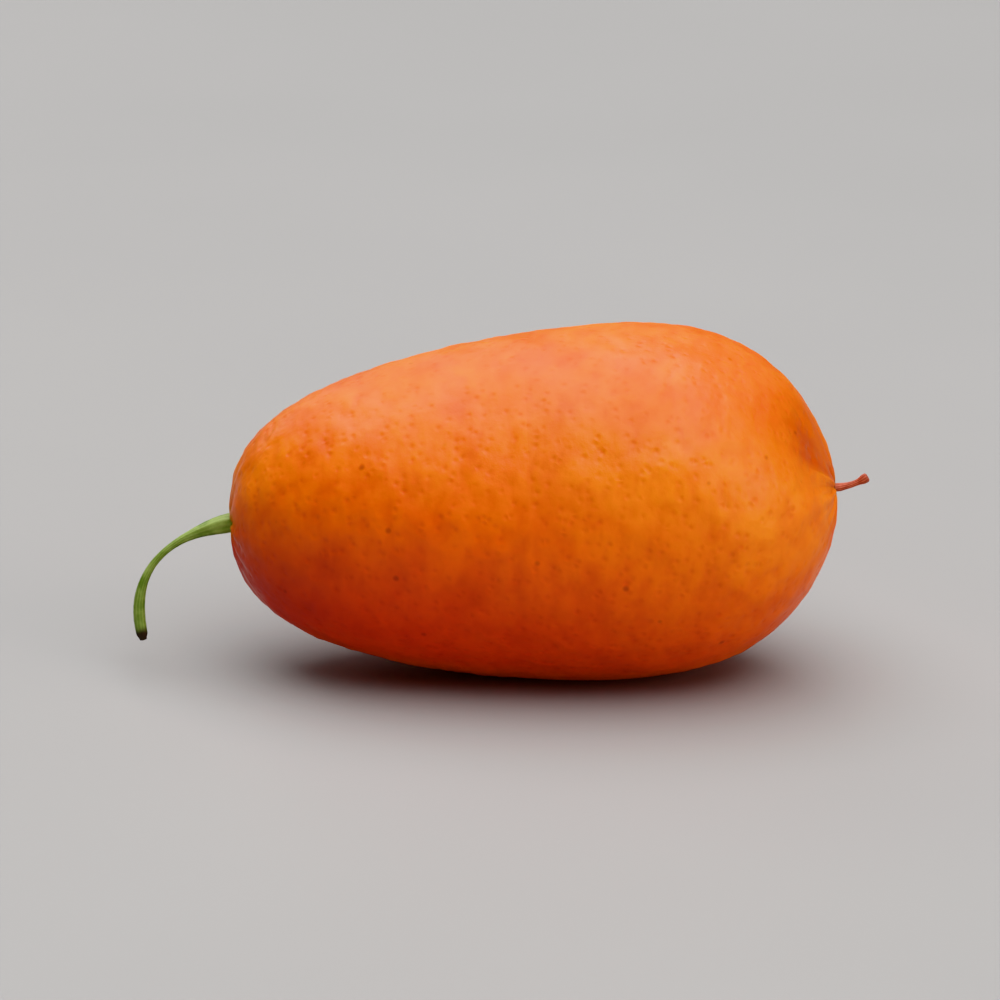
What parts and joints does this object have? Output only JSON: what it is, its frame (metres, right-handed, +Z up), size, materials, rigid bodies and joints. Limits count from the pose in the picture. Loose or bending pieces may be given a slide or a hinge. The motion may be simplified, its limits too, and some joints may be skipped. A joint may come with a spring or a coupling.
{
  "type": "kumquat",
  "caption": "Ripe oval citrus fruit lying on its side as picked, with a thin drooping green stem at the slim end and a dry thread of style at the blunt end.",
  "frame": {"origin": "middle of the small flat spot under the fruit, on the surface that it lies on", "axes": "+Z up; the fruit's long axis runs along X, within a few degrees, with the stem end at -X and the style end at +X"},
  "size_m": [0.0487, 0.0237, 0.0233],
  "materials": {
    "peel": "satin",
    "stem_green": "satin",
    "dry_style": "matte"
  },
  "bodies": {
    "root": {"fruit": "peel", "stem": "stem_green", "style": "dry_style"}
  },
  "joints": []
}
